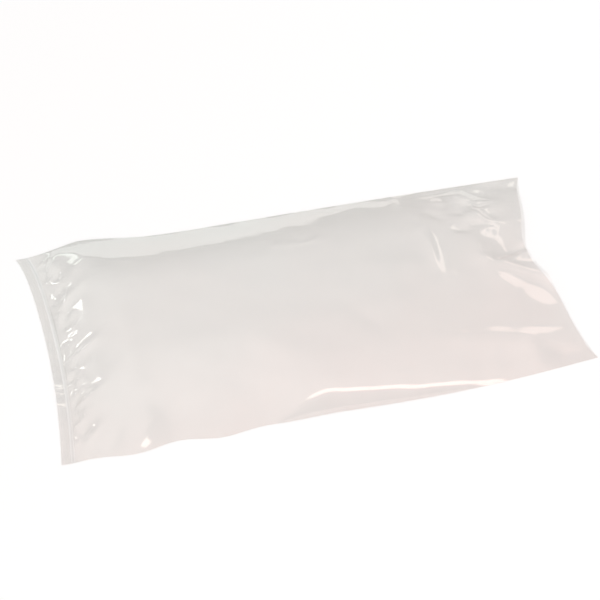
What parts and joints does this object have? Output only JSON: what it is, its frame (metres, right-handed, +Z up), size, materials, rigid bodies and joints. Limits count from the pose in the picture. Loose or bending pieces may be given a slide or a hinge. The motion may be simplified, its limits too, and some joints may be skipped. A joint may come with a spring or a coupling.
{
  "type": "flat poly bag",
  "caption": "Clear flat poly bag made of one length of film tube, heat sealed across one end and open at the other, lying with its front ply raised in a low tent.",
  "frame": {"origin": "middle of the flat back ply, on the surface that the bag lies on", "axes": "+X along the bag from the heat seal to the open mouth, +Y across it from the near side fold to the far one, +Z up through the front ply"},
  "size_m": [0.406, 0.2135, 0.028],
  "materials": {
    "clear_film": "clear gloss film, crinkled"
  },
  "bodies": {
    "root": {"bag": "clear_film"}
  },
  "joints": []
}
